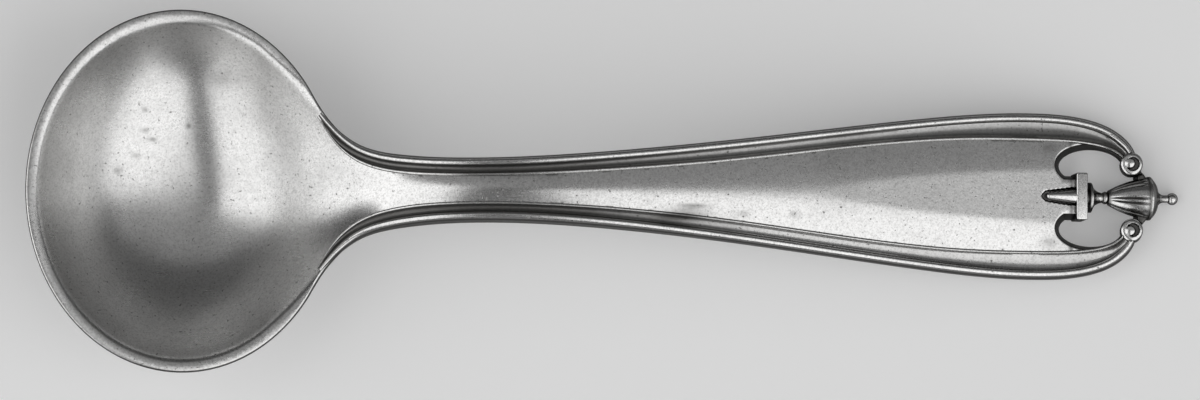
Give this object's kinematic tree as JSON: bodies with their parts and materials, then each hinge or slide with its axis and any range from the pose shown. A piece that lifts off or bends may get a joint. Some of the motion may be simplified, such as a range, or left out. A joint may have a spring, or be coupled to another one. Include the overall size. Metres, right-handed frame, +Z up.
{
  "type": "salt spoon",
  "caption": "Small die-struck silver salt spoon with a round bowl, a threaded tapering handle and a pierced scroll end round a turned urn finial",
  "frame": {"origin": "on the table the spoon lies on, under the middle of its length", "axes": "X along the spoon from the bowl to the finial, Y across it, Z up, with the bowl open upwards"},
  "size_m": [0.0635, 0.02, 0.0075],
  "materials": {
    "worn_silver": "satin silver, softly worn, a little tarnished in the hollows"
  },
  "bodies": {
    "root": {"salt_spoon": "worn_silver"}
  },
  "joints": []
}
